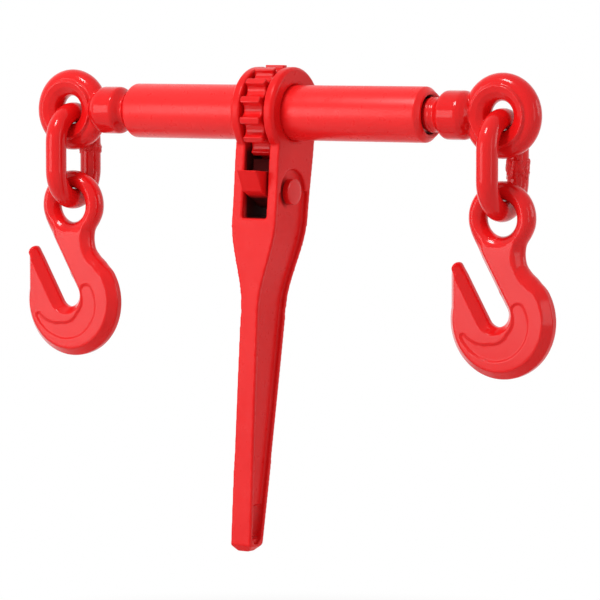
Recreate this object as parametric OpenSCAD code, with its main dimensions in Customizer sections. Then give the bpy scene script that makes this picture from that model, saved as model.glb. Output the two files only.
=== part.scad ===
// Ratchet load binder: a turnbuckle barrel with a ratchet handle,
// two eye screws of opposite hand, and a grab hook on a link at each end.
// Millimetres. X runs along the barrel, Z is up, the handle's front faces -Y.
// The origin is on the barrel's axis in the ratchet's middle plane.

/* [Barrel] */
// barrel outside diameter
barrel_d = 40; // [34:0.5:48]
// barrel length
barrel_l = 256.5; // [200:0.5:300]
// barrel's middle, to the right of the ratchet
barrel_shift = 3.9; // [0:0.1:6]
// chamfer at both barrel ends
barrel_chamfer = 4; // [1:0.5:6]
// length of thread at each end
nut_l = 30; // [20:1:45]
// bore between the two threads
relief_d = 31; // [29:0.5:33]

/* [Screws] */
// thread outside diameter
thread_d = 26; // [20:0.5:28]
// thread lead
lead = 6; // [4:0.5:8]
// turns from closed to the stop
turns = 14; // [10:1:16]
// right screw, out from closed
right_out = 7.2; // [5:0.1:12]
// left screw, out from closed
left_out = 5; // [0.4:0.1:5]
// collar length
collar_l = 16; // [10:0.5:24]
// collar to eye centre
eye_reach = 28.9; // [25:0.1:36]
// collar diameter
collar_d = 35; // [30:0.5:40]
// eye outside radius
eye_ro = 30.2; // [26:0.1:36]
// eye hole radius
eye_ri = 10.3; // [9:0.1:14]
// radius of the eye's side crease
eye_rc = 24; // [20:0.5:28]
// half thickness of the eye
eye_t = 11; // [8:0.5:13]
// spigot behind the stop washer
spigot_d = 16; // [12:0.5:20]
// stop washer thickness
stop_t = 3; // [2:0.5:4]
// stop ring thickness
ring_t = 1.5; // [1:0.1:2]

/* [Links] */
// wire diameter
wire_d = 15.5; // [12:0.5:18]
// leg to leg, centre to centre
link_w = 44; // [38:0.5:50]
// end to end, centre to centre
link_l = 64.5; // [55:0.5:80]
// swell of the butt weld on the rear leg
weld_r = 1.1; // [0.5:0.1:2]

/* [Hooks] */
// hook thickness
hook_t = 18; // [12:0.5:22]
// hook edge bevel, across the face
hook_c = 5.5; // [2:0.5:8]
// hook edge land at mid thickness
hook_land = 5; // [2:0.5:8]
// land across the throat's wall
throat_land = 4; // [2:0.5:6]
// hook eye outside radius
hook_ro = 26; // [20:0.5:30]
// hook eye hole radius
hook_ri = 12.8; // [10:0.1:15]
// radius of the hollow behind the hook's neck
neck_r = 22; // [16:0.5:28]
// bowl radius
bowl_r = 41.2; // [34:0.5:46]
// drop from the barrel axis to the bowl centre
bowl_z = 143.5; // [130:0.5:155]
// throat width
throat_w = 17.5; // [13:0.5:22]
// throat lean from upright
throat_lean = 30; // [20:1:40]

/* [Handle] */
// fork cheek radius
cheek_r = 33; // [28:0.5:38]
// fork cheek centre, behind the barrel axis
cheek_y = 1.2; // [0:0.1:3]
// fork width over both cheeks
fork_w = 37.4; // [32:0.2:44]
// fork slot width
slot_w = 20.9; // [17:0.1:24]
// fork slot depth below the barrel axis
slot_z = 75.8; // [70:0.2:85]
// drop to the handle's end
handle_z = 315.5; // [280:1:360]
// arm width below the fork
arm_w = 14.3; // [12:0.1:18]
// arm width at the end
end_w = 17; // [14:0.1:20]
// arm depth, front to back, below the fork
arm_d = 44.4; // [36:0.2:48]
// arm depth at the end
end_d = 18.6; // [14:0.2:24]
// lean of the arm, forward travel per drop
lean = 0.132; // [0:0.002:0.2]
// where the arm's middle line meets the barrel's level
lean_y0 = 4; // [0:0.1:8]
// depth of the side channels
channel_t = 3.4; // [2:0.1:5]
// rim left beside the channels
rim = 3.4; // [2:0.1:6]
// height of the end window
window_l = 24; // [15:0.5:35]

/* [Ratchet] */
// teeth on the gear
teeth = 14; // [12:1:16]
// gear tip radius
gear_r = 34.4; // [30:0.1:36]
// gear width
gear_w = 15.4; // [12:0.1:18]
// radius of a tooth gap
gap_r = 5.6; // [5:0.1:6]
// radius at which the gaps are centred
gap_c = 33.6; // [33:0.1:34]
// pawl pin drop below the barrel axis
pin_z = 57; // [52:0.2:62]
// pawl pin forward offset
pin_y = -4.2; // [-8:0.1:0]
// pawl pin diameter
pin_d = 12; // [8:0.5:14]
// pawl pin head diameter
pin_head_d = 18.6; // [15:0.1:22]
// pawl width
pawl_w = 16.8; // [14:0.1:19]
// pawl hub radius
hub_r = 12; // [10:0.5:14]
// distance of a meshed pawl nose from the barrel axis
nose_r = 31.8; // [31.4:0.1:32.4]
// pawl rocking to either side
rock = 20; // [18:0.5:22]
// detent plunger diameter
plunger_d = 8; // [5:0.5:10]

/* [Hidden] */
$fn = 72;
run = 0.05;
gap = 0.3;
half_l = barrel_l / 2;
barrel_r = barrel_d / 2;
nut_x = half_l - nut_l;
travel = lead * turns;
right_neck = half_l + barrel_shift + right_out;
left_neck = half_l - barrel_shift + left_out;
// places along a screw, from its neck outward
shoulder_x = nut_x + barrel_shift - travel - 0.2 - right_neck;
stop_x1 = shoulder_x - gap;
stop_x0 = stop_x1 - stop_t;
ring_x1 = stop_x0 - gap;
ring_x0 = ring_x1 - ring_t;
spigot_x = ring_x0 - 1.2;
collar_x0 = (collar_d - thread_d) / 2 + 1;
collar_x1 = collar_x0 + collar_l;
eye_x = collar_x1 + eye_reach;
right_eye_x = right_neck + eye_x;
left_eye_x = left_neck + eye_x;
wire_r = wire_d / 2;
link_top = -eye_ri + gap + wire_r;
link_bot = link_top - link_l;
bow = link_w / 2;
hook_eye_z = link_bot + wire_r + gap - hook_ri;
hook_rc = hook_ri + 0.6 * (hook_ro - hook_ri);
hook_eye_t = hook_t / 2 - 1;
throat_x = -2.3;
throat_z = -bowl_z + 4.3;
bar_land = hook_land - 0.5;
flare = hook_c * (hook_t + 2 - throat_land) / (hook_t - throat_land);
flare_r = throat_w / 2 + flare;
// the hollow bites a little into the eye and the bowl
neck_a = hook_ro + neck_r - 1;
neck_b = bowl_r + neck_r - 1.2;
neck_d = bowl_z + hook_eye_z;
neck_drop = (neck_a * neck_a - neck_b * neck_b + neck_d * neck_d) / (2 * neck_d);
neck_x = sqrt(neck_a * neck_a - neck_drop * neck_drop);
tip_z = -107.6;
tip_x = -39.8;
tip_r = 4.6;
fork_flare = 1.6;
face_x = fork_w / 2;
floor_x = face_x - channel_t;
bore_floor = 105;
hub_bottom = -pin_z - hub_r;
plunger_top = hub_bottom - gap;
plunger_bottom = plunger_top - 17.5;
coil_top = plunger_bottom - gap;
coil_n = 8;
coil_r = 3.1;
coil_wire = 0.55;

function smooth(t) = t <= 0 ? 0 : t >= 1 ? 1 : t * t * (3 - 2 * t);
// half width of the handle, seen from the front, at drop d
function half_w(d) =
    d < 78 ? face_x :
    let (arm = arm_w / 2 + (end_w - arm_w) / 2 * max(0, d - 140) / (handle_z - 140))
    arm + (face_x - arm_w / 2) * smooth((140 - d) / 62);
// half depth of the arm, seen from the side, at drop d
function half_d(d) =
    let (t = max(0, (d - 78) / (handle_z - 13 - 78)))
    arm_d / 2 - (arm_d - end_d) / 2 * pow(t, 1.25) + fork_flare * smooth((70 - d) / 45);
function mid_y(d) = lean_y0 - lean * d;
// the pawl's middle line points at the barrel axis, with a gear tooth on it and a gap on each side
pin_r = norm([pin_y, pin_z]);
tilt = atan2(pin_y, pin_z);
half_pitch = 180 / teeth;
gear_turn = 270 + tilt + half_pitch;
// point of the pawl's front nose, from its place against the tooth in mesh:
// r from the barrel axis, w off the line a quarter pitch from the tooth
function meshed(r, w) = [w * cos(half_pitch / 2) - r * sin(half_pitch / 2),
    pin_r - r * cos(half_pitch / 2) - w * sin(half_pitch / 2)];
function nose_point(r, w) =
    let (p = meshed(r, w))
    [p[0] * cos(rock) - p[1] * sin(rock), p[0] * sin(rock) + p[1] * cos(rock)];
// two arcs that meet at a crease: centres of the outer and the inner one
function outer_c(ro, rc, t) = (ro * ro - rc * rc - t * t) / (2 * (ro - rc));
function inner_c(ri, rc, t) = (rc * rc + t * t - ri * ri) / (2 * (rc - ri));

// turned about X: the profile's first number is the radius, its second the place along X
module turned(points) {
    rotate([0, 90, 0])
        rotate_extrude()
            polygon(points);
}

// lies along X from x0 to x1
module rod(r, x0, x1) {
    translate([x0, 0, 0])
        rotate([0, 90, 0])
            cylinder(r = r, h = x1 - x0);
}

// drawn in the YZ plane and run along X, centred
module across(w) {
    rotate([90, 0, 90])
        linear_extrude(w, center = true)
            children();
}

// drawn in the XZ plane and run along Y, centred
module through(w) {
    rotate([90, 0, 0])
        linear_extrude(w, center = true)
            children();
}

// forged ring about Y with a crease on both sides
module forged_ring(ro, ri, rc, t) {
    a = outer_c(ro, rc, t);
    b = inner_c(ri, rc, t);
    rotate([90, 0, 0])
        rotate_extrude()
            intersection() {
                translate([a, 0])
                    circle(ro - a);
                translate([b, 0])
                    circle(b - ri);
            }
}

// snap ring about X with a gap below
module snap_ring(ri, ro, t) {
    across(t)
        difference() {
            circle(ro);
            circle(ri);
            translate([-ri * 0.45, -ro - 1])
                square([ri * 0.9, ro + 1]);
        }
}

module barrel_body() {
    c = barrel_chamfer;
    difference() {
        translate([barrel_shift, 0, 0])
            difference() {
                turned([[0, -half_l], [barrel_r - c, -half_l], [barrel_r, -half_l + c],
                    [barrel_r, half_l - c], [barrel_r - c, half_l], [0, half_l]]);
                rod(thread_d / 2 + run, -half_l - 1, half_l + 1);
                rod(relief_d / 2, -nut_x, nut_x);
            }
        gear_pin_hole();
    }
}

// through the bottom of a tooth gap
module gear_pin_hole() {
    rotate([gear_turn, 0, 0])
        translate([0, relief_d / 2 - 1, 0])
            rotate([-90, 0, 0])
                cylinder(d = 5, h = 20);
}

module barrel() {
    color("red")
        barrel_body();
}

module ratchet_gear() {
    color("firebrick")
        difference() {
            across(gear_w)
                difference() {
                    circle(gear_r);
                    circle(barrel_r + 0.02);
                    for (i = [0 : teeth - 1])
                        rotate(gear_turn + i * 360 / teeth) {
                            translate([gap_c, 0])
                                circle(gap_r);
                            translate([gap_c, -gap_r])
                                square([gap_r, 2 * gap_r]);
                        }
                }
            gear_pin_hole();
        }
}

module gear_pin() {
    color("gray")
        rotate([gear_turn, 0, 0])
            translate([0, relief_d / 2 + 0.2, 0])
                rotate([-90, 0, 0])
                    cylinder(d = 4.96, h = gap_c - gap_r - relief_d / 2 - 0.5);
}

// handle seen from the side, in from its edges by m
module side_view(m) {
    n = 24;
    end = handle_z - m * 1.5;
    corner = 5 - m * 0.4;
    drops = [for (i = [0 : n]) 20 + (end - corner - 20) * i / n];
    back = [for (d = drops) [mid_y(d) + half_d(d) - m, -d]];
    front = [for (i = [n : -1 : 0]) [mid_y(drops[i]) - half_d(drops[i]) + m, -drops[i]]];
    foot = [[mid_y(end) + half_d(end) - m - corner, -end],
        [mid_y(end) - half_d(end) + m + corner * 0.8, -end]];
    polygon(concat(back, foot, front));
}

// handle seen from the front, in from its faces by m
module front_view(m) {
    n = 30;
    end = handle_z + m * 3;
    top = cheek_r + 1;
    drops = concat([-top, 40], [for (i = [0 : n]) 70 + (end - 4 - 70) * i / n]);
    right = [for (d = drops) [half_w(d) - m, -d]];
    left = [for (i = [len(drops) - 1 : -1 : 0]) [m - half_w(drops[i]), -drops[i]]];
    foot = [[end_w / 2 - m - 4, -end], [m + 4 - end_w / 2, -end]];
    polygon(concat(right, foot, left));
}

module handle_solid() {
    intersection() {
        across(fork_w + 4)
            side_view(0);
        through(200)
            front_view(0);
    }
    translate([0, cheek_y, 0])
        turned([[0, -face_x], [cheek_r - 2.2, -face_x], [cheek_r, -face_x + 2.2],
            [cheek_r, face_x - 2.2], [cheek_r - 2.2, face_x], [0, face_x]]);
}

module channels() {
    difference() {
        across(fork_w + 4)
            union() {
                intersection() {
                    side_view(rim);
                    translate([-100, -handle_z])
                        square([200, handle_z - pin_z]);
                }
                translate([pin_y, -pin_z])
                    circle(16.4);
            }
        through(200)
            front_view(channel_t);
    }
}

module end_window() {
    d0 = handle_z - 9;
    across(40)
        intersection() {
            side_view(rim);
            translate([-100, -d0])
                square([200, window_l]);
        }
}

module handle() {
    color("red")
        difference() {
            handle_solid();
            channels();
            end_window();
            translate([-slot_w / 2, -60, -slot_z])
                cube([slot_w, 120, slot_z + cheek_r + 5]);
            rod(barrel_r + run, -30, 30);
            translate([0, pin_y, -pin_z])
                rod(pin_d / 2 + 0.02, -30, 30);
            translate([0, pin_y, -bore_floor])
                cylinder(d = plunger_d + 2 * run, h = bore_floor - slot_z + 5);
        }
}

module pawl_pin() {
    color("firebrick")
        translate([0, pin_y, -pin_z])
            difference() {
                union() {
                    rod(pin_d / 2, -floor_x - 4.6, floor_x + 1);
                    rod(pin_head_d / 2, floor_x + 0.02, floor_x + 5);
                }
                translate([-floor_x - 2.4, 0, 0])
                    across(1.26)
                        difference() {
                            circle(pin_d);
                            circle(pin_d / 2 - 0.9);
                        }
            }
}

module pin_washer() {
    color("gray")
        translate([-floor_x - 0.9, pin_y, -pin_z])
            across(1.6)
                difference() {
                    circle(pin_head_d / 2);
                    circle(pin_d / 2 + 0.1);
                }
}

module pin_clip() {
    color("gray")
        translate([-floor_x - 2.4, pin_y, -pin_z])
            snap_ring(pin_d / 2 - 0.85, pin_d / 2 + 2.4, 1.2);
}

function coil_point(i, n) =
    let (a = 360 * coil_n * i / n,
        z = coil_top - coil_wire - (coil_top - 2 * coil_wire - 0.3 + bore_floor) * i / n)
    [coil_r * cos(a), coil_r * sin(a), z];
coil_steps = coil_n * 8;
coil_gap = min([for (i = [0 : coil_steps - 5], j = [i + 5 : coil_steps])
    norm(coil_point(i, coil_steps) - coil_point(j, coil_steps))]) - 2 * coil_wire;

// one unbroken wire of six sides
module coil() {
    s = 6;
    n = coil_steps;
    ring = [for (i = [0 : n], k = [0 : s - 1])
        let (a = 360 * coil_n * i / n, b = 360 * k / s, r = coil_r + coil_wire * cos(b))
        [r * cos(a), r * sin(a), coil_point(i, n)[2] + coil_wire * sin(b)]];
    sides = [for (i = [0 : n - 1], k = [0 : s - 1], h = [0, 1])
        let (p = i * s + k, q = i * s + (k + 1) % s)
        h == 0 ? [p, q, q + s] : [p, q + s, p + s]];
    first = [for (k = [s - 1 : -1 : 0]) k];
    last = [for (k = [0 : s - 1]) n * s + k];
    polyhedron(ring, concat([first], sides, [last]));
}

module detent_spring() {
    echo(coil_gap = coil_gap);
    color("gray")
        translate([0, pin_y, 0])
            coil();
}

module detent_plunger() {
    color("gray")
        translate([0, pin_y, 0]) {
            translate([0, 0, plunger_bottom])
                cylinder(d = plunger_d, h = plunger_top - plunger_bottom - plunger_d / 2);
            translate([0, 0, plunger_top - plunger_d / 2])
                sphere(d = plunger_d);
        }
}

// pawl outline about its pin, front half: nose, then thumb tab
half_pawl = [nose_point(nose_r + 9, 2), nose_point(nose_r, 1.1), nose_point(nose_r, -0.7),
    nose_point(nose_r + 8, -2.6), [-19, 13.6], [-34.5, 13.8], [-25.8, -0.9], [-6, -9]];

module pawl() {
    color("firebrick")
        translate([0, pin_y, -pin_z])
            across(pawl_w)
                difference() {
                    union() {
                        circle(hub_r);
                        rotate(tilt)
                            polygon(concat([[0, 12.5]], half_pawl,
                                [for (i = [len(half_pawl) - 1 : -1 : 0])
                                    [-half_pawl[i][0], half_pawl[i][1]]]));
                    }
                    circle(pin_d / 2 + run);
                    for (a = [-rock, 0, rock])
                        rotate(a)
                            translate([0, -hub_r - 0.9])
                                circle(1.8);
                }
}

module eye_screw() {
    difference() {
        union() {
            turned([[0, spigot_x], [spigot_d / 2, spigot_x], [spigot_d / 2, shoulder_x],
                [thread_d / 2 - 1.5, shoulder_x], [thread_d / 2, shoulder_x + 1.5],
                [thread_d / 2, 0], [collar_d / 2, collar_x0], [collar_d / 2, collar_x1],
                [11, collar_x1 + 9], [0, collar_x1 + 9]]);
            translate([eye_x, 0, 0])
                forged_ring(eye_ro, eye_ri, eye_rc, eye_t);
        }
        translate([(ring_x0 + ring_x1) / 2, 0, 0])
            across(ring_t + 0.06)
                difference() {
                    circle(spigot_d);
                    circle(spigot_d / 2 - 1);
                }
    }
}

module stop_washer() {
    translate([(stop_x0 + stop_x1) / 2, 0, 0])
        across(stop_t)
            difference() {
                circle(relief_d / 2 - 0.08);
                circle(spigot_d / 2 + run);
            }
}

module stop_ring() {
    translate([(ring_x0 + ring_x1) / 2, 0, 0])
        snap_ring(spigot_d / 2 - 0.95, spigot_d / 2 + 3, ring_t);
}

module right_eye_screw() {
    color("red")
        translate([right_neck, 0, 0])
            eye_screw();
}

module right_stop_washer() {
    color("gray")
        translate([right_neck, 0, 0])
            stop_washer();
}

module right_stop_ring() {
    color("gray")
        translate([right_neck, 0, 0])
            stop_ring();
}

module left_eye_screw() {
    color("red")
        mirror([1, 0, 0])
            translate([left_neck, 0, 0])
                eye_screw();
}

module left_stop_washer() {
    color("gray")
        mirror([1, 0, 0])
            translate([left_neck, 0, 0])
                stop_washer();
}

module left_stop_ring() {
    color("gray")
        mirror([1, 0, 0])
            translate([left_neck, 0, 0])
                stop_ring();
}

module bow_end() {
    rotate([90, 0, 90])
        rotate_extrude(angle = 180)
            translate([bow, 0])
                circle(wire_r);
}

// closed link in the plane across X, its butt weld on the rear leg
module chain_link() {
    top = link_top - bow;
    bot = link_bot + bow;
    translate([0, 0, top])
        bow_end();
    translate([0, 0, bot])
        mirror([0, 0, 1])
            bow_end();
    for (y = [-bow, bow])
        translate([0, y, bot])
            cylinder(r = wire_r, h = top - bot);
    translate([0, bow, top - 5])
        rotate_extrude()
            translate([wire_r - 1.6 + weld_r - 1.1, 0])
                circle(2.7);
}

module right_link() {
    color("red")
        translate([right_eye_x, 0, 0])
            chain_link();
}

module left_link() {
    color("red")
        translate([-left_eye_x, 0, 0])
            chain_link();
}

// coin with bevelled edges, lying in the hook's plane
module coin(x, z, r, c) {
    translate([x, 0, z])
        rotate([90, 0, 0])
            rotate_extrude()
                polygon([[0, -hook_t / 2], [r - c, -hook_t / 2], [r, -hook_land / 2],
                    [r, hook_land / 2], [r - c, hook_t / 2], [0, hook_t / 2]]);
}

// bar with bevelled edges from one point of the hook's plane to another
module bar(x0, z0, x1, z1, w, c) {
    l = norm([x1 - x0, z1 - z0]);
    translate([x0, 0, z0])
        rotate([0, -atan2(z1 - z0, x1 - x0), 0])
            rotate([90, 0, 90])
                linear_extrude(l)
                    polygon([[-hook_t / 2, c - w / 2], [-bar_land / 2, -w / 2],
                        [bar_land / 2, -w / 2], [hook_t / 2, c - w / 2],
                        [hook_t / 2, w / 2 - c], [bar_land / 2, w / 2],
                        [-bar_land / 2, w / 2], [-hook_t / 2, w / 2 - c]]);
}

// throat with flared edges, leaning back from its round bottom
module throat_end() {
    r = throat_w / 2;
    h = hook_t / 2 + 1;
    translate([throat_x, 0, throat_z])
        rotate([0, -throat_lean, 0])
            rotate([90, 0, 0])
                rotate([0, 0, 180])
                    rotate_extrude(angle = 180)
                        polygon([[0, -h], [flare_r, -h], [r, -throat_land / 2],
                            [r, throat_land / 2], [flare_r, h], [0, h]]);
}

module throat_run() {
    r = throat_w / 2;
    h = hook_t / 2 + 1;
    translate([throat_x, 0, throat_z])
        rotate([0, -throat_lean, 0])
            linear_extrude(75)
                polygon([[-flare_r, -h], [-r, -throat_land / 2], [-r, throat_land / 2],
                    [-flare_r, h], [flare_r, h], [r, throat_land / 2],
                    [r, -throat_land / 2], [flare_r, -h]]);
}

// clears the shank out of the eye's hole, a little inside the ring's own wall
module hook_hole() {
    r = hook_t / 2 - 0.2;
    rotate([90, 0, 0])
        rotate_extrude()
            difference() {
                translate([0, -hook_t])
                    square([hook_ri + r, 2 * hook_t]);
                translate([hook_ri + r + 0.6, 0])
                    circle(r);
            }
}

// hollow behind the neck, with flared edges
module neck_hollow() {
    h = hook_t / 2 + 1;
    translate([neck_x, 0, hook_eye_z - neck_drop])
        rotate([90, 0, 0])
            rotate_extrude()
                polygon([[0, -h], [neck_r + flare, -h], [neck_r, -throat_land / 2],
                    [neck_r, throat_land / 2], [neck_r + flare, h], [0, h]]);
}

module grab_hook() {
    difference() {
        union() {
            coin(0.8, -bowl_z, bowl_r, hook_c);
            coin(7, -bowl_z + 29, 18, hook_c - 0.6);
            bar(-2, hook_eye_z - 8, 9, -bowl_z, 36, hook_c + 0.35);
            bar(4.5, hook_eye_z - 11.5, 4.5, -106, 43, hook_c + 0.1);
            bar(tip_x + 9.8, tip_z, tip_x + 9.8, -bowl_z, 19.6, hook_c + 0.2);
            coin(tip_x + tip_r + 0.3, tip_z, tip_r, tip_r - 1.9);
        }
        throat_end();
        throat_run();
        neck_hollow();
        translate([0, 0, hook_eye_z])
            hook_hole();
    }
    translate([0, 0, hook_eye_z])
        forged_ring(hook_ro, hook_ri, hook_rc, hook_eye_t);
}

module right_hook() {
    color("red")
        translate([right_eye_x, 0, 0])
            grab_hook();
}

module left_hook() {
    color("red")
        translate([-left_eye_x, 0, 0])
            grab_hook();
}

barrel();
ratchet_gear();
gear_pin();
handle();
pawl_pin();
pin_washer();
pin_clip();
detent_spring();
detent_plunger();
pawl();
right_eye_screw();
right_stop_washer();
right_stop_ring();
left_eye_screw();
left_stop_washer();
left_stop_ring();
right_link();
left_link();
right_hook();
left_hook();
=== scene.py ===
import math

import bmesh
import bpy
from mathutils import Matrix, Vector, noise


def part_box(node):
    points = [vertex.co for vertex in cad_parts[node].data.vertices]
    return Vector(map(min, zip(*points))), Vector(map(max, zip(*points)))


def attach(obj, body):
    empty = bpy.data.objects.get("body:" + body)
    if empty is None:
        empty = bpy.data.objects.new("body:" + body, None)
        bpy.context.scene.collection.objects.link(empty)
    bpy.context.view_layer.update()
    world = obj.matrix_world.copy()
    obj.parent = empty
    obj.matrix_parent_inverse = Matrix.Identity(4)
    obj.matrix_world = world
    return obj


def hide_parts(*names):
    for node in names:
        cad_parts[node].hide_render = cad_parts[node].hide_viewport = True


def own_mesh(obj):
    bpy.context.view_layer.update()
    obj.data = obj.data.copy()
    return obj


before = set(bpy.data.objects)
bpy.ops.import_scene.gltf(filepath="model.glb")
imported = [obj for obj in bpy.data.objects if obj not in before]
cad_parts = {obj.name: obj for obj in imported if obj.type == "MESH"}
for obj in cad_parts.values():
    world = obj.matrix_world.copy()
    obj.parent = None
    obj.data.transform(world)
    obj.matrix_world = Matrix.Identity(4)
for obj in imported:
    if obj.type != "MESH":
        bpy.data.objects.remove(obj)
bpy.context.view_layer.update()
mm = 0.001
mergeWithin = 0.001 * mm    # points nearer than this become one
print("frame loaded,", len(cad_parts), "nodes")


# shader nodes

def addNode(tree, kind, inputs=None, **settings):
    node = tree.nodes.new("ShaderNode" + kind)
    for key, value in settings.items():
        setattr(node, key, value)
    for key, value in (inputs or {}).items():
        node.inputs[key].default_value = value
    return node


def newMaterial(name):
    material = bpy.data.materials.new(name)
    material.use_nodes = True
    tree = material.node_tree
    return material, tree, tree.nodes["Principled BSDF"]


def objectPlace(tree):
    return addNode(tree, "TexCoord").outputs["Object"]


def coordinate(tree, axis):
    split = addNode(tree, "SeparateXYZ")
    tree.links.new(objectPlace(tree), split.inputs[0])
    return split.outputs[axis]


def noiseField(tree, scale, detail=2.0, roughness=0.5, stretch=(1, 1, 1)):
    spread = addNode(tree, "Mapping", {"Scale": stretch})
    field = addNode(tree, "TexNoise", {"Scale": scale, "Detail": detail, "Roughness": roughness})
    tree.links.new(objectPlace(tree), spread.inputs["Vector"])
    tree.links.new(spread.outputs["Vector"], field.inputs["Vector"])
    return field.outputs["Fac"]


def rangeOf(tree, source, fromLow, fromHigh, toLow=0, toHigh=1):
    span = {"From Min": fromLow, "From Max": fromHigh, "To Min": toLow, "To Max": toHigh}
    node = addNode(tree, "MapRange", span)
    tree.links.new(source, node.inputs["Value"])
    return node.outputs["Result"]


def mixColour(tree, factor, first, second):
    node = addNode(tree, "Mix", data_type="RGBA")
    tree.links.new(factor, node.inputs["Factor"])
    for socket, value in ((node.inputs[6], first), (node.inputs[7], second)):    # the colour pair, A and B
        if isinstance(value, bpy.types.NodeSocket):
            tree.links.new(value, socket)
        else:
            socket.default_value = (*value, 1)
    return node.outputs[2]


def bumpFrom(tree, source, strength, distance, before=None):
    node = addNode(tree, "Bump", {"Strength": strength, "Distance": distance})
    tree.links.new(source, node.inputs["Height"])
    if before:
        tree.links.new(before, node.inputs["Normal"])
    return node.outputs["Normal"]


def calculate(tree, operation, *values):
    node = addNode(tree, "Math", operation=operation)
    for socket, value in zip(node.inputs, values):
        if isinstance(value, bpy.types.NodeSocket):
            tree.links.new(value, socket)
        else:
            socket.default_value = value
    return node.outputs[0]


def product(tree, first, *others):
    for other in others:
        first = calculate(tree, "MULTIPLY", first, other)
    return first


# distance from a line along X, from the offsets to it
def offLine(tree, y, z):
    squares = calculate(tree, "MULTIPLY_ADD", y, y, calculate(tree, "MULTIPLY", z, z))
    return calculate(tree, "POWER", squares, 0.5)


# paint: the noise fields are given as noiseField takes them
noiseSpan = (0.3, 0.7)    # most of a noise field lies between these
redPaint = {
    "colour": (0.7, 0.007, 0.008),
    "barrelPaintedLight": (0.82, 0.01, 0.011),    # a lighter copy of the paint on the barrel: painted light, as the barrel shows brighter than the rest
    "thin": (0.77, 0.014, 0.014),     # over an edge
    "pooledShade": (0.3, 0.002, 0.003),    # darker in a crease: paint pooled there, and painted shade
    "paintedShade": (0.05, 0.002, 0.002),     # painted shade in the recesses below
    "edges": {"thin": (0.53, 0.6, 0, 0.5), "pooledShade": (0.47, 0.38, 0, 0.85)},    # pointiness span, mix span
    "cloud": {"scale": 32, "detail": 3},
    "cloudMost": 0.45,
    "dulling": {"scale": 160, "detail": 4},
    "deepDulling": 0.5,
    "ripple": {"scale": 420, "detail": 2},
    "rippleHeight": 0.3 * mm,
    "skin": {"scale": 1300, "detail": 4, "roughness": 0.65},
    "skinHeight": 0.25 * mm,
    "specular": 0.07,
    "lacquer": {"Coat Weight": 0.6, "Coat Roughness": 0.09, "Coat IOR": 1.32},
}


# gloss paint over metal: peel is the strength of the sprayed ripple, grain that of the skin under it
def paintMaterial(name, peel, grain, gloss, thinEdgesShadedCreases=False, darkIn=None, lacquered=True,
                  specular=redPaint["specular"], base="colour"):
    material, tree, shader = newMaterial(name)
    p = redPaint
    cloud = rangeOf(tree, noiseField(tree, **p["cloud"]), *noiseSpan, 0, p["cloudMost"])
    colour = mixColour(tree, cloud, p[base], p["thin"])
    # thinner paint over edges, and creases darkened: pooled paint and painted shade
    if thinEdgesShadedCreases:
        pointed = addNode(tree, "NewGeometry").outputs["Pointiness"]
        for finish, span in p["edges"].items():
            colour = mixColour(tree, rangeOf(tree, pointed, *span), colour, p[finish])
    roughness = rangeOf(tree, noiseField(tree, **p["dulling"]), *noiseSpan, *gloss)
    # painted shade: the paint is darkened in recesses where shade falls
    if darkIn:
        paintedShade = darkIn(tree)
        colour = mixColour(tree, paintedShade, colour, p["paintedShade"])
        roughness = calculate(tree, "MULTIPLY_ADD", paintedShade, p["deepDulling"], roughness)
    tree.links.new(colour, shader.inputs["Base Color"])
    tree.links.new(roughness, shader.inputs["Roughness"])
    normal = bumpFrom(tree, noiseField(tree, **p["ripple"]), peel, p["rippleHeight"])
    normal = bumpFrom(tree, noiseField(tree, **p["skin"]), grain, p["skinHeight"], normal)
    tree.links.new(normal, shader.inputs["Normal"])
    shader.inputs["Specular IOR Level"].default_value = specular
    if lacquered:
        for socket, value in p["lacquer"].items():
            shader.inputs[socket].default_value = value
    return material


# where the paint is darkened as painted shade in recesses: each pair goes from clear to dark
darkPlaces = {
    "pin": {"y": -4.2 * mm, "z": -57 * mm, "around": (13.5 * mm, 10.5 * mm), "ahead": (-2 * mm, -8 * mm),
            "sunk": (18.4 * mm, 17 * mm), "most": 0.9},
    "fork": {"across": (11 * mm, 10.7 * mm), "front": (-24 * mm, -20 * mm), "back": (20 * mm, 16 * mm),
             "bottom": (-77.5 * mm, -76.3 * mm), "top": (-20 * mm, -28 * mm)},
    "pawl": {"front": (-25 * mm, -19 * mm), "back": (16.6 * mm, 10.6 * mm)},
    "bore": (14.4 * mm, 13.8 * mm),
}


# painted shade on the front part of the pocket round the pawl pin's head
def besidePin(tree):
    p = darkPlaces["pin"]
    y = calculate(tree, "SUBTRACT", coordinate(tree, "Y"), p["y"])
    z = calculate(tree, "SUBTRACT", coordinate(tree, "Z"), p["z"])
    near = rangeOf(tree, offLine(tree, y, z), *p["around"], 0, p["most"])
    sunk = rangeOf(tree, calculate(tree, "ABSOLUTE", coordinate(tree, "X")), *p["sunk"])
    return product(tree, near, rangeOf(tree, y, *p["ahead"]), sunk)


# painted shade inside the fork's slot, away from its front and back edges
def insideFork(tree):
    f = darkPlaces["fork"]
    y, z = coordinate(tree, "Y"), coordinate(tree, "Z")
    across = rangeOf(tree, calculate(tree, "ABSOLUTE", coordinate(tree, "X")), *f["across"])
    lengthwise = [rangeOf(tree, y, *f[end]) for end in ("front", "back")]
    upright = [rangeOf(tree, z, *f[end]) for end in ("bottom", "top")]
    return calculate(tree, "MAXIMUM", product(tree, across, *lengthwise, *upright), besidePin(tree))


# painted shade on the pawl between its two thumb tabs
def insidePawl(tree):
    y = coordinate(tree, "Y")
    return product(tree, *(rangeOf(tree, y, *darkPlaces["pawl"][end]) for end in ("front", "back")))


# painted shade in the barrel's bore
def insideBore(tree):
    return rangeOf(tree, offLine(tree, coordinate(tree, "Y"), coordinate(tree, "Z")), *darkPlaces["bore"])


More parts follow.
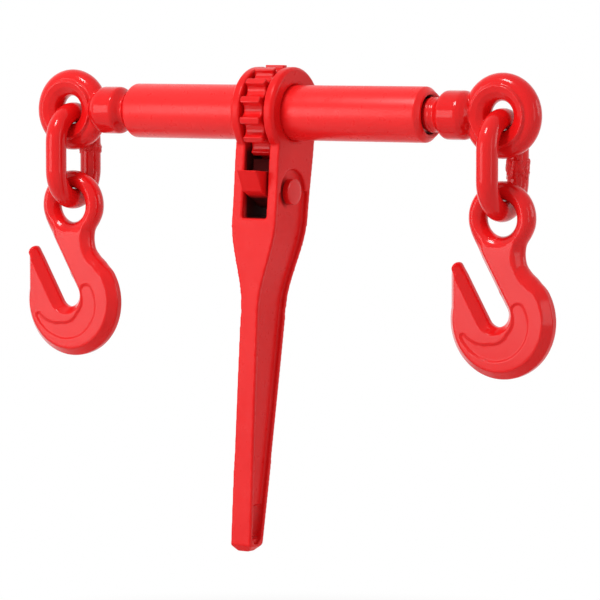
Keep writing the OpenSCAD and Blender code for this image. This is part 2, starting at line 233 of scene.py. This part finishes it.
bareSteel = {"marks": {"scale": 500, "detail": 4, "roughness": 0.6}, "markBump": 0.15, "markHeight": 0.1 * mm,
             "stain": {"scale": 90, "detail": 3}, "stainSpan": (0.35, 0.7), "stainMost": 0.8,
             "paintFrom": 4 * mm, "paintFull": 2.5 * mm}    # paint: depths inside the barrel's mouths


# bare metal with fine turning marks round the X axis, painted where the mask says so
def steelMaterial(name, pale, dark, gloss, stretch, painted=None):
    material, tree, shader = newMaterial(name)
    s = bareSteel
    marks = noiseField(tree, stretch=stretch, **s["marks"])
    stain = noiseField(tree, **s["stain"])
    colour = mixColour(tree, rangeOf(tree, stain, *s["stainSpan"], 0, s["stainMost"]), pale, dark)
    shader.inputs["Metallic"].default_value = 1.0
    if painted:
        mask = painted(tree)
        colour = mixColour(tree, mask, colour, redPaint["colour"])
        tree.links.new(calculate(tree, "SUBTRACT", 1.0, mask), shader.inputs["Metallic"])
    tree.links.new(colour, shader.inputs["Base Color"])
    tree.links.new(rangeOf(tree, marks, *noiseSpan, *gloss), shader.inputs["Roughness"])
    tree.links.new(bumpFrom(tree, marks, s["markBump"], s["markHeight"]), shader.inputs["Normal"])
    return material


# paint on the turns of thread at the barrel's mouths
def nearMouths(tree):
    low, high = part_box("barrel")
    x = coordinate(tree, "X")
    depths = bareSteel["paintFrom"], bareSteel["paintFull"]
    right = rangeOf(tree, x, *(high.x - depth for depth in depths))
    left = rangeOf(tree, x, *(low.x + depth for depth in depths))
    return calculate(tree, "MAXIMUM", right, left)


smoothRed = paintMaterial("smoothRedPaint", 0.08, 0.03, (0.14, 0.22))
# the barrel takes the lighter copy of the paint, which is painted light
barrelRed = paintMaterial("barrelRedPaint", 0.08, 0.03, (0.26, 0.34), darkIn=insideBore, lacquered=False,
                          specular=0.3, base="barrelPaintedLight")
forgedRed = paintMaterial("forgedRedPaint", 0.14, 0.08, (0.15, 0.24), thinEdgesShadedCreases=True)
castRed = paintMaterial("castRedPaint", 0.2, 0.2, (0.26, 0.36), thinEdgesShadedCreases=True, darkIn=insideFork,
                        lacquered=False, specular=0.14)
pawlRed = paintMaterial("pawlRedPaint", 0.16, 0.14, (0.3, 0.44), thinEdgesShadedCreases=True, darkIn=insidePawl,
                        lacquered=False, specular=0.1)
pinRed = paintMaterial("pinRedPaint", 0.14, 0.1, (0.32, 0.44))
weldRed = paintMaterial("weldRedPaint", 0.5, 0.5, (0.35, 0.55), thinEdgesShadedCreases=True)
plainSteel = steelMaterial("plainSteel", (0.58, 0.57, 0.55), (0.4, 0.39, 0.38), (0.25, 0.42), (4, 1, 1))
oiledSteel = steelMaterial("oiledSteel", (0.3, 0.28, 0.25), (0.12, 0.1, 0.08), (0.2, 0.4), (2, 1, 1),
                           nearMouths)
springSteel = steelMaterial("springSteel", (0.42, 0.43, 0.46), (0.25, 0.25, 0.27), (0.22, 0.34), (1, 1, 1))
print("materials made")


# mesh helpers

def meshPiece(name, bm, material, crease=35):
    bmesh.ops.remove_doubles(bm, verts=bm.verts, dist=mergeWithin)
    bmesh.ops.dissolve_degenerate(bm, edges=bm.edges, dist=mergeWithin / 2)
    bmesh.ops.recalc_face_normals(bm, faces=bm.faces)
    mesh = bpy.data.meshes.new(name)
    bm.to_mesh(mesh)
    bm.free()
    piece = bpy.data.objects.new(name, mesh)
    bpy.context.scene.collection.objects.link(piece)
    mesh.materials.append(material)
    mesh.shade_smooth()
    mesh.set_sharp_from_angle(angle=math.radians(crease))
    return piece


def place(piece, body, slot, *nodes):
    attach(piece, body)
    if nodes:
        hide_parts(*nodes)
    return piece


# profile points are (place along the axis, radius); the axis goes through the centre
latheAxes = {"X": ((1, 0, 0), (0, 0, 1)), "Y": ((0, 1, 0), (1, 0, 0)), "Z": ((0, 0, 1), (1, 0, 0))}


def latheInto(bm, profile, centre=(0, 0, 0), axis="X", steps=96, closed=True, angle=2 * math.pi):
    centre = Vector(centre)
    along, out = (Vector(direction) for direction in latheAxes[axis])
    verts = [bm.verts.new(centre + along * a + out * r) for a, r in profile]
    pairs = list(zip(verts, verts[1:])) + ([(verts[-1], verts[0])] if closed else [])
    edges = [bm.edges.new(pair) for pair in pairs]
    bmesh.ops.spin(bm, geom=verts + edges, cent=centre, axis=along, angle=angle, steps=steps,
                   use_merge=abs(angle - 2 * math.pi) < 1e-6)
    bmesh.ops.remove_doubles(bm, verts=bm.verts, dist=mergeWithin)


# points of an arc that starts straight out from its centre: along the axis, out from it
def arc(radius, angle, steps):
    turns = [angle * k / steps for k in range(steps + 1)]
    return [(radius * math.sin(turn), radius * math.cos(turn)) for turn in turns]


def mirrored(profile):
    return [(-a, r) for a, r in reversed(profile)]


def roundEdges(bm, width, segments=3, sharper=30):
    edges = [e for e in bm.edges if len(e.link_faces) == 2 and e.calc_face_angle(0) > math.radians(sharper)]
    bmesh.ops.bevel(bm, geom=edges, offset=width, segments=segments, profile=0.5, affect="EDGES", material=-1)


# copies a node's mesh, closed up
def nodeMesh(node):
    bm = bmesh.new()
    bm.from_mesh(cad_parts[node].data)
    bmesh.ops.remove_doubles(bm, verts=bm.verts, dist=mergeWithin)
    return bm


# gives a closed mesh the soft edges of a forging
def forgedPiece(name, bm, material, voxel, rounds):
    piece = meshPiece(name, bm, material)
    skin = piece.modifiers.new("skin", "REMESH")
    skin.mode = "VOXEL"
    skin.voxel_size = voxel
    soft = piece.modifiers.new("soft", "SMOOTH")
    soft.factor = 0.5
    soft.iterations = rounds
    graph = bpy.context.evaluated_depsgraph_get()
    mesh = bpy.data.meshes.new_from_object(piece.evaluated_get(graph))
    piece.modifiers.clear()
    piece.data = mesh
    mesh.name = name
    mesh.materials.clear()
    mesh.materials.append(material)
    mesh.shade_smooth()
    print(name, "has", len(mesh.polygons), "faces")
    return piece


def ease(value):
    t = max(0.0, min(1.0, value))
    return t * t * (3 - 2 * t)


# barrel: a tube with bevelled ends, opened a little at the mouths
barrel = {"chamfer": 4 * mm, "bore": 13.05 * mm, "mouth": 15.7 * mm, "mouthDepth": 2.2 * mm,
          "relief": 15.5 * mm, "nut": 30 * mm, "nutBevel": 2 * mm, "edge": 0.9 * mm, "sides": 128}


def makeBarrel():
    low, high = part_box("barrel")
    middle, half, r, b = (low.x + high.x) / 2, (high.x - low.x) / 2, high.y, barrel
    nut = half - b["nut"]
    end = [(nut, b["relief"]), (nut + b["nutBevel"], b["bore"]), (half - b["mouthDepth"], b["bore"]),
           (half, b["mouth"]), (half, r - b["chamfer"]), (half - b["chamfer"], r)]
    bm = bmesh.new()
    latheInto(bm, end + mirrored(end), (middle, 0, 0), steps=b["sides"])
    roundEdges(bm, b["edge"])
    place(meshPiece("barrelTube", bm, barrelRed), "barrel", "red_paint", "barrel")


# eye screws: forged eye and collar with a waisted neck, and a rolled thread behind it
screw = {"neck": {"right": 139.35 * mm, "left": 129.35 * mm}, "eyeReach": 50.4 * mm, "voxel": 0.5 * mm,
         "rounds": 3}
thread = {"radius": 13 * mm, "root": 10.7 * mm, "lead": 6 * mm, "crest": 1.7 * mm, "flank": 1.3 * mm,
          "runout": 6 * mm, "gap": 0.6 * mm, "length": 120 * mm, "sunkCore": 0.02 * mm, "endLap": 0.2 * mm,
          "stepsPerTurn": 40}
eye = {"outer": 30.2 * mm, "hole": 10.3 * mm, "crease": 21.2 * mm, "creaseHeight": 10.9 * mm,
       "ledge": (0.9 * mm, 2.3 * mm), "lip": 12.4 * mm, "lipHeight": 6.4 * mm, "swell": 0.8 * mm,
       "rimSteps": 8, "holeSteps": 5, "sides": 144}
# from the thread's runout over the waist, cone and collar to the dome inside the eye: along, radius, in mm
collar = [(-9, 0), (-9, 12.1), (-6.9, 12.1), (-6.4, 12.8), (-5.4, 12.8), (-4.9, 12.3), (-4, 12.3),
          (-3.4, 12.5), (-2.4, 12.2), (-0.8, 11.8), (0.3, 11.9), (1.6, 12.8), (4.7, 16.4), (6.2, 17.3),
          (8, 17.5), (19.6, 17.5), (21.4, 17.2), (24, 16), (26.6, 13.9), (29, 10.8), (31, 6.5), (32, 0)]


# half section of the eye: a round flank from the rim to a ledge, a swelled band to the lip, a round hole
def eyeSection():
    e = eye
    ledge, height = e["crease"] + e["ledge"][0], e["creaseHeight"] - e["ledge"][1]
    middle = (e["outer"] ** 2 - ledge ** 2 - height ** 2) / (2 * (e["outer"] - ledge))
    flank = e["outer"] - middle
    step = e["lip"] - e["hole"]
    curl = (step ** 2 + e["lipHeight"] ** 2) / (2 * step)
    rim = [(a, middle + r) for a, r in arc(flank, math.asin(height / flank), e["rimSteps"])]
    hole = [(a, e["hole"] + curl - r) for a, r in arc(curl, math.asin(e["lipHeight"] / curl), e["holeSteps"])]
    band = [(e["creaseHeight"], e["crease"]),
            ((e["creaseHeight"] + e["lipHeight"]) / 2 + e["swell"], (e["crease"] + e["lip"]) / 2)]
    half = rim + band + hole[::-1]
    return half + mirrored(half[1:-1])


def makeEyeScrew(side, sign):
    neck = screw["neck"][side]
    bm = bmesh.new()
    latheInto(bm, [(sign * (neck + a * mm), r * mm) for a, r in collar], closed=False)
    latheInto(bm, eyeSection(), (sign * (neck + screw["eyeReach"]), 0, 0), "Y", eye["sides"])
    piece = forgedPiece(side + "EyeForging", bm, forgedRed, screw["voxel"], screw["rounds"])
    place(piece, side + "_screw", "red_paint", side + "_eye_screw")
    makeThread(side, sign, neck)


def makeThread(side, sign, neck):
    t = thread
    front = neck - t["runout"]
    turns = int((t["length"] - t["runout"]) / t["lead"])
    root = t["lead"] - t["crest"] - 2 * t["flank"]
    profile = [(0, t["root"]), (root, t["root"]), (root + t["flank"], t["radius"]),
               (root + t["flank"] + t["crest"], t["radius"]), (t["lead"], t["root"])]
    start = front - t["lead"] - t["gap"]
    bm = bmesh.new()
    verts = [bm.verts.new((sign * (start + x), 0, r)) for x, r in profile]
    edges = [bm.edges.new(pair) for pair in zip(verts, verts[1:])]
    # going inward, both helices turn the same way about X, which makes them of opposite hand
    bmesh.ops.spin(bm, geom=verts + edges, cent=(0, 0, 0), axis=(1, 0, 0),
                   dvec=(-sign * t["lead"] / t["stepsPerTurn"], 0, 0), angle=-2 * math.pi * turns,
                   steps=t["stepsPerTurn"] * turns)
    bmesh.ops.remove_doubles(bm, verts=bm.verts, dist=2 * mergeWithin)
    back = start - turns * t["lead"] - t["endLap"]
    core = t["root"] - t["sunkCore"]
    ends = [(back, 0), (back, core), (front, core), (front, 0)]
    latheInto(bm, [(sign * x, r) for x, r in ends], closed=False)
    place(meshPiece(side + "Thread", bm, oiledSteel, 50), side + "_screw", "plain_steel")


# washers, and snap rings with a gap
ring = {"edge": 0.3 * mm, "sides": 64, "gapAngle": 50}


def ringPiece(name, node, body, material, hole, axisPoint=(0, 0, 0), gapAngle=0):
    low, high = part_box(node)
    outer = (high.y - low.y) / 2
    bm = bmesh.new()
    profile = [(low.x, hole), (low.x, outer), (high.x, outer), (high.x, hole)]
    turn = 2 * math.pi - math.radians(gapAngle)
    latheInto(bm, profile, axisPoint, angle=turn, steps=ring["sides"])
    if gapAngle:
        bmesh.ops.holes_fill(bm, edges=[e for e in bm.edges if len(e.link_faces) == 1])
        half = math.radians(gapAngle / 2)
        bmesh.ops.rotate(bm, verts=bm.verts, cent=axisPoint, matrix=Matrix.Rotation(math.pi + half, 3, "X"))
    roundEdges(bm, ring["edge"], 2)
    place(meshPiece(name, bm, material), body, "plain_steel", node)


# stop washer and its snap ring on the screw's spigot, inside the barrel
stops = {"washerHole": 8.05 * mm, "ringHole": 7.05 * mm}


def makeStops(side):
    ringPiece(side + "StopWasher", side + "_stop_washer", side + "_stop", plainSteel, stops["washerHole"])
    ringPiece(side + "StopRing", side + "_stop_ring", side + "_screw", springSteel, stops["ringHole"],
              gapAngle=ring["gapAngle"])


# links: round wire, bent and butt welded on the rear leg
link = {"wire": 7.75 * mm, "bow": 22 * mm, "sides": 32, "bendSteps": 28}
weld = {"right": {"drop": 37.5 * mm, "height": 16 * mm, "proud": 0.4 * mm, "rough": 1.1 * mm},
        "left": {"drop": 29 * mm, "height": 8 * mm, "proud": 0.5 * mm, "rough": 0.8 * mm}}
# crown and shoulder are shares of half the bead's height; lumps are (noise scale, weight)
bead = {"crown": 0.35, "shoulder": 0.8, "tuck": 0.6 * mm, "sides": 40,
        "lumps": ((240, 1), (620, 0.7), (1500, 0.5)), "lowest": -0.8, "highest": 0.9,
        "wander": 1.2 * mm, "wanderScale": 260, "wanderFrom": (7, 3, 1)}


def makeLink(side):
    low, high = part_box(side + "_link")
    x = (low.x + high.x) / 2
    top = high.z - link["wire"] - link["bow"]
    bottom = low.z + link["wire"] + link["bow"]
    bm = bmesh.new()
    ends = bmesh.ops.create_circle(bm, radius=link["wire"], segments=link["sides"],
                                   matrix=Matrix.Translation((x, -link["bow"], bottom)))["verts"]
    loop = list({e for v in ends for e in v.link_edges})
    for height, turnCentre in ((top - bottom, top), (bottom - top, bottom)):
        grown = bmesh.ops.extrude_edge_only(bm, edges=loop)["geom"]
        moved = [g for g in grown if isinstance(g, bmesh.types.BMVert)]
        loop = [g for g in grown if isinstance(g, bmesh.types.BMEdge)]
        bmesh.ops.translate(bm, verts=moved, vec=(0, 0, height))
        swept = bmesh.ops.spin(bm, geom=moved + loop, cent=(x, 0, turnCentre), axis=(-1, 0, 0), angle=math.pi,
                               steps=link["bendSteps"])["geom_last"]
        loop = [g for g in swept if isinstance(g, bmesh.types.BMEdge)]
    piece = meshPiece(side + "LinkWire", bm, smoothRed)
    place(piece, side + "_link", "red_paint", side + "_link")
    makeWeld(side, x)


def makeWeld(side, x):
    w = weld[side]
    centre = Vector((x, link["bow"], -w["drop"]))
    half, r = w["height"] / 2, link["wire"]
    bm = bmesh.new()
    upper = [(half * bead["crown"], r + w["proud"]), (half * bead["shoulder"], r + w["proud"] * 0.5),
             (half, r - bead["tuck"])]
    latheInto(bm, mirrored(upper) + upper, centre, "Z", bead["sides"], closed=False)
    bmesh.ops.subdivide_edges(bm, edges=bm.edges, cuts=2, use_grid_fill=True)
    for v in bm.verts:
        out = Vector((v.co.x - centre.x, v.co.y - centre.y, 0)).normalized()
        lump = sum(weight * noise.noise(v.co * scale) for scale, weight in bead["lumps"])
        v.co += out * max(bead["lowest"], min(bead["highest"], lump)) * w["rough"]
        v.co.z += noise.noise(v.co * bead["wanderScale"] + Vector(bead["wanderFrom"])) * bead["wander"]
    place(meshPiece(side + "WeldBead", bm, weldRed, 60), side + "_link", "red_paint")


# grab hooks, with a shallow panel along the lower curve of both faces
# places are (along X from the eye, height)
hook = {"voxel": 0.6 * mm, "rounds": 6, "bowl": (0.8 * mm, -143.5 * mm),
        "shoulder": {"radius": 6.5 * mm, "from": (-9 * mm, -97 * mm), "to": (-18 * mm, -81.4 * mm)},
        "hip": {"at": [(11.9 * mm, -117.3 * mm), (18.2 * mm, -122.8 * mm)], "radius": 14 * mm,
                "half": 9 * mm, "bevel": 5.4 * mm, "land": 3.4 * mm, "hole": 1 * mm}}
# patches that are smoothed further: place, reach, passes
softened = [(2 * mm, -95 * mm, 10 * mm, 60), (17 * mm, -100 * mm, 9 * mm, 40),
            (27 * mm, -111 * mm, 13 * mm, 90), (22 * mm, -86 * mm, 9 * mm, 50),
            (-20 * mm, -89 * mm, 12 * mm, 80), (-34.9 * mm, -106 * mm, 8 * mm, 30)]
patchLeft = 0.4    # share of a patch's reach that the last pass still smooths
# the panel as it runs round the bowl: angle, middle radius, half width
panel = {"run": [(203, 30 * mm, 2.6 * mm), (246, 23.5 * mm, 6.4 * mm), (313, 18.8 * mm, 8 * mm),
                 (385, 18.2 * mm, 6 * mm)], "soft": 1.4 * mm, "depth": 0.8 * mm, "faceAt": 7.2 * mm}


# a round-ended bar that carries the throat's wall up to the eye
def addShoulder(bm, eyeX):
    b = hook["shoulder"]
    start, end = (Vector((eyeX + b[key][0], 0, b[key][1])) for key in ("from", "to"))
    turn = (end - start).to_track_quat("Z", "Y").to_matrix().to_4x4()
    made = bmesh.ops.create_uvsphere(bm, u_segments=32, v_segments=17, radius=b["radius"])["verts"]
    upper = [v for v in made if v.co.z > 0.01 * mm]
    bmesh.ops.translate(bm, verts=upper, vec=(0, 0, (end - start).length))
    bmesh.ops.transform(bm, matrix=Matrix.Translation(start) @ turn, verts=made)


# the broad part below the neck, as two bevelled discs
def addHip(bm, eyeX):
    b = hook["hip"]
    front = [(b["land"], b["radius"]), (b["half"], b["radius"] - b["bevel"]), (b["half"], b["hole"])]
    for x, z in b["at"]:
        latheInto(bm, mirrored(front) + front, (eyeX + x, 0, z), "Y", 64)


# smooths a round patch of a piece, most in its middle
def soften(piece, eyeX, x, z, reach, passes):
    bm = bmesh.new()
    bm.from_mesh(piece.data)
    patch = [(math.hypot(v.co.x - eyeX - x, v.co.z - z), v) for v in bm.verts]
    patch = [(off, v) for off, v in patch if off < reach]
    for k in range(passes):
        inside = reach * (1 - (1 - patchLeft) * k / passes)
        bmesh.ops.smooth_vert(bm, verts=[v for off, v in patch if off < inside], factor=0.5,
                              use_axis_x=True, use_axis_y=True, use_axis_z=True)
    bm.to_mesh(piece.data)
    bm.free()


# the panel's middle radius and half width at an angle round the bowl
def panelAt(angle):
    run = panel["run"]
    for (a0, r0, w0), (a1, r1, w1) in zip(run, run[1:]):
        if angle <= a1:
            share = (angle - a0) / (a1 - a0)
            return r0 + (r1 - r0) * share, w0 + (w1 - w0) * share
    return run[-1][1:]


# sinks the panel into both faces
def sinkPanel(piece, eyeX):
    p = panel
    first, last = p["run"][0], p["run"][-1]
    bowl = Vector((eyeX + hook["bowl"][0], 0, hook["bowl"][1]))
    ends = []
    for angle, radius, half in (first, last):
        turn = math.radians(angle)
        ends.append((bowl + radius * Vector((math.cos(turn), 0, math.sin(turn))), half))
    for v in piece.data.vertices:
        if abs(v.co.y) < p["faceAt"]:
            continue
        flat = Vector((v.co.x, 0, v.co.z))
        angle = math.degrees(math.atan2(flat.z - bowl.z, flat.x - bowl.x)) % 360
        angle += 360 if angle < 90 else 0
        inside = max(half - (flat - end).length for end, half in ends)
        if first[0] < angle < last[0]:
            radius, half = panelAt(angle)
            inside = max(inside, half - abs((flat - bowl).length - radius))
        v.co.y -= math.copysign(p["depth"] * ease(inside / p["soft"]), v.co.y)


def makeHook(side):
    low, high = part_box(side + "_link")
    eyeX = (low.x + high.x) / 2
    bm = nodeMesh(side + "_hook")
    addShoulder(bm, eyeX)
    addHip(bm, eyeX)
    piece = forgedPiece(side + "HookForging", bm, forgedRed, hook["voxel"], hook["rounds"])
    for patch in softened:
        soften(piece, eyeX, *patch)
    sinkPanel(piece, eyeX)
    place(piece, side + "_hook", "red_paint", side + "_hook")


# handle: the barrel's hole is eased where it comes out of the cheeks
handle = {"voxel": 0.8 * mm, "rounds": 4, "bore": 20.05 * mm, "face": 18.7 * mm, "easing": 1.3 * mm}


def makeHandle():
    piece = forgedPiece("handleForging", nodeMesh("handle"), castRed, handle["voxel"], handle["rounds"])
    easing = handle["easing"]
    for v in piece.data.vertices:
        radius = math.hypot(v.co.y, v.co.z)
        reach = max(0.0, min(1.0, (handle["bore"] + 2 * easing - radius) / easing))
        depth = ease(1 - (handle["face"] - abs(v.co.x)) / easing) * reach
        if depth > 0:
            v.co.y *= 1 + depth * easing / radius
            v.co.z *= 1 + depth * easing / radius
    place(piece, "handle", "red_paint", "handle")


# ratchet gear, filled out a little all round outside the barrel, and the pawl
ratchet = {"voxel": 0.5 * mm, "rounds": 13, "swell": 0.5 * mm, "swellFrom": 21 * mm, "tip": 34.3 * mm}
pawl = {"voxel": 0.45 * mm, "rounds": 4}


def makeRatchet():
    r = ratchet
    gear = forgedPiece("ratchetGear", nodeMesh("ratchet_gear"), forgedRed, r["voxel"], r["rounds"])
    normals = [v.normal.copy() for v in gear.data.vertices]    # reading them while points move is slow
    for v, normal in zip(gear.data.vertices, normals):
        if math.hypot(v.co.y, v.co.z) > r["swellFrom"]:
            v.co += normal * r["swell"]
            over = max(1.0, math.hypot(v.co.y, v.co.z) / r["tip"])
            v.co.y, v.co.z = v.co.y / over, v.co.z / over
    place(gear, "barrel", "red_paint", "ratchet_gear")
    dog = forgedPiece("pawlForging", nodeMesh("pawl"), pawlRed, pawl["voxel"], pawl["rounds"])
    place(dog, "pawl", "red_paint", "pawl")


# pawl pin with a low head, and a clip in its groove over a washer
pin = {"radius": 6 * mm, "headRadius": 9.3 * mm, "headHeight": 4.98 * mm, "crown": 0.25 * mm,
       "crownRadius": 6 * mm, "groove": 2.2 * mm, "grooveHalf": 0.63 * mm, "grooveRadius": 5.1 * mm,
       "edge": 0.45 * mm, "sides": 72, "washerHole": 6.1 * mm, "clipHole": 5.15 * mm}


def makePin():
    low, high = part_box("pawl_pin")
    centre = (0, (low.y + high.y) / 2, (low.z + high.z) / 2)
    p = pin
    seat, groove = high.x - p["headHeight"], low.x + p["groove"]
    near, far = groove - p["grooveHalf"], groove + p["grooveHalf"]
    profile = [(low.x, 0), (low.x, p["radius"]), (near, p["radius"]), (near, p["grooveRadius"]),
               (far, p["grooveRadius"]), (far, p["radius"]), (seat, p["radius"]), (seat, p["headRadius"]),
               (high.x - p["crown"], p["headRadius"]), (high.x, p["crownRadius"]), (high.x, 0)]
    bm = bmesh.new()
    latheInto(bm, profile, centre, closed=False, steps=p["sides"])
    roundEdges(bm, p["edge"])
    place(meshPiece("pawlPin", bm, pinRed), "handle", "red_paint", "pawl_pin")
    ringPiece("pinWasher", "pin_washer", "handle", plainSteel, p["washerHole"], centre)
    ringPiece("pinClip", "pin_clip", "handle", springSteel, p["clipHole"], centre, gapAngle=ring["gapAngle"])


# detent: a round-nosed plunger on a coil spring
plunger = {"radius": 4 * mm, "edge": 0.5 * mm, "noseSteps": 6, "sides": 48}
spring = {"radius": 3.1 * mm, "wire": 0.55 * mm, "sides": 10, "turns": 8, "stepsPerTurn": 24,
          "floor": -105 * mm, "travel": 3 * mm}


def makeDetent():
    low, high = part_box("detent_plunger")
    centre = Vector(((low.x + high.x) / 2, (low.y + high.y) / 2, 0))
    r, edge = plunger["radius"], plunger["edge"]
    nose = [(high.z - r + a, radius) for a, radius in arc(r, math.pi / 2, plunger["noseSteps"])]
    profile = [(low.z, 0), (low.z, r - edge), (low.z + edge, r)] + nose
    bm = bmesh.new()
    latheInto(bm, profile, centre, "Z", plunger["sides"], closed=False)
    place(meshPiece("detentPlunger", bm, plainSteel, 40), "plunger", "plain_steel", "detent_plunger")
    coilLow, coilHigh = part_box("detent_spring")
    s = spring
    steps = s["turns"] * s["stepsPerTurn"]
    drop = (coilHigh.z - coilLow.z - 2 * s["wire"]) / steps
    start = centre + Vector((s["radius"], 0, coilHigh.z - s["wire"]))
    turned = Matrix.Translation(start) @ Matrix.Rotation(math.pi / 2, 4, "X")
    bm = bmesh.new()
    verts = bmesh.ops.create_circle(bm, cap_ends=True, radius=s["wire"], segments=s["sides"],
                                    matrix=turned)["verts"]
    edges = list({e for v in verts for e in v.link_edges})
    faces = list({f for v in verts for f in v.link_faces})
    bmesh.ops.spin(bm, geom=verts + edges + faces, cent=centre, axis=(0, 0, 1), dvec=(0, 0, -drop),
                   angle=2 * math.pi * s["turns"], steps=steps)
    coil = place(meshPiece("detentSpring", bm, springSteel, 60), "handle", "plain_steel", "detent_spring")
    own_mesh(coil)


makeBarrel()
for side, sign in (("right", 1), ("left", -1)):
    makeEyeScrew(side, sign)
    makeStops(side)
    makeLink(side)
    makeHook(side)
makeHandle()
makeRatchet()
makePin()
makeDetent()
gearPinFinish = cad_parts["gear_pin"].data.materials
gearPinFinish.clear()
gearPinFinish.append(plainSteel)
print("pieces made")


# stage: pale floor that keeps the shadow near the object and runs out to white
stage = {"floorDrop": 0.43, "floorSize": 12.0, "shade": (0.86, 0.86, 0.86), "roughness": 0.9, "specular": 0.1,
         "keepTo": 0.3, "whiteFrom": 0.55, "ambient": 0.37}


def seenRays(tree):
    path = addNode(tree, "LightPath").outputs
    total = path["Is Camera Ray"]
    for name in ("Is Glossy Ray", "Is Transmission Ray"):
        total = calculate(tree, "MAXIMUM", total, path[name])
    return total


def makeFloor():
    bm = bmesh.new()
    bmesh.ops.create_grid(bm, x_segments=2, y_segments=2, size=stage["floorSize"] / 2)
    bmesh.ops.translate(bm, verts=bm.verts, vec=(0, 0, -stage["floorDrop"]))
    material, tree, shader = newMaterial("paleFloor")
    shader.inputs["Base Color"].default_value = (*stage["shade"], 1)
    shader.inputs["Roughness"].default_value = stage["roughness"]
    shader.inputs["Specular IOR Level"].default_value = stage["specular"]
    flat = addNode(tree, "VectorMath", operation="MULTIPLY")
    flat.inputs[1].default_value = (1, 1, 0)
    reach = addNode(tree, "VectorMath", operation="LENGTH")
    tree.links.new(objectPlace(tree), flat.inputs[0])
    tree.links.new(flat.outputs[0], reach.inputs[0])
    fade = addNode(tree, "MapRange", {"From Min": stage["keepTo"], "From Max": stage["whiteFrom"]},
                   interpolation_type="SMOOTHSTEP")
    tree.links.new(reach.outputs["Value"], fade.inputs["Value"])
    white = addNode(tree, "Emission", {"Color": (1, 1, 1, 1), "Strength": 1.0})
    mix = addNode(tree, "MixShader")
    tree.links.new(product(tree, fade.outputs["Result"], seenRays(tree)), mix.inputs[0])
    tree.links.new(shader.outputs[0], mix.inputs[1])
    tree.links.new(white.outputs[0], mix.inputs[2])
    tree.links.new(mix.outputs[0], tree.nodes["Material Output"].inputs["Surface"])
    meshPiece("floor", bm, material)


def makeWorld():
    world = bpy.data.worlds.new("studio")
    bpy.context.scene.world = world
    world.use_nodes = True
    tree = world.node_tree
    strength = addNode(tree, "MapRange", {"To Min": stage["ambient"], "To Max": 1.0})
    tree.links.new(seenRays(tree), strength.inputs["Value"])
    background = tree.nodes["Background"]
    background.inputs["Color"].default_value = (1, 1, 1, 1)
    tree.links.new(strength.outputs["Result"], background.inputs["Strength"])


lampAim = (0, 0, -0.12)
lamps = {
    "key": {"at": (-1.5, -2.35, 0.2), "size": (1.5, 1.5), "watts": 25},
    "top": {"at": (-0.3, -1.2, 1.6), "size": (0.5, 0.5), "watts": 29},
    "side": {"at": (2.4, -0.7, 0.3), "size": (0.4, 1.6), "watts": 5},
    "rim": {"at": (2.3, 1.3, 0.6), "size": (1.2, 1.2), "watts": 14},
}


def makeLamps():
    for name, lamp in lamps.items():
        light = bpy.data.lights.new(name, "AREA")
        light.shape = "RECTANGLE"
        light.size, light.size_y = lamp["size"]
        light.energy = lamp["watts"]
        holder = bpy.data.objects.new(name, light)
        bpy.context.scene.collection.objects.link(holder)
        turn = (Vector(lampAim) - Vector(lamp["at"])).to_track_quat("-Z", "Y").to_matrix().to_4x4()
        holder.matrix_world = Matrix.Translation(lamp["at"]) @ turn


# camera: where the photograph was taken from, in degrees, metres and pixels of a 600 by 600 image
shot = {"azimuth": 32.5, "elevation": 4.14, "distance": 2.75, "focal": 3795, "image": 600,
        "origin": (274.5, 112.44), "sensor": 36.0}


def makeCamera():
    a, e = math.radians(shot["azimuth"]), math.radians(shot["elevation"])
    back = Vector((math.sin(a) * math.cos(e), -math.cos(a) * math.cos(e), math.sin(e)))
    right = Vector((math.cos(a), math.sin(a), 0))
    up = back.cross(right)
    scale = shot["distance"] / shot["focal"]
    middle = shot["image"] / 2
    across, down = shot["origin"]
    at = back * shot["distance"] - right * (across - middle) * scale - up * (middle - down) * scale
    data = bpy.data.cameras.new("camera")
    data.sensor_width = shot["sensor"]
    data.lens = shot["focal"] * shot["sensor"] / shot["image"]
    camera = bpy.data.objects.new("camera", data)
    bpy.context.scene.collection.objects.link(camera)
    camera.matrix_world = Matrix.Translation(at) @ Matrix((right, up, back)).transposed().to_4x4()
    bpy.context.scene.camera = camera


makeFloor()
makeWorld()
makeLamps()
makeCamera()
bpy.context.scene.view_settings.view_transform = "Standard"
print("stage set")
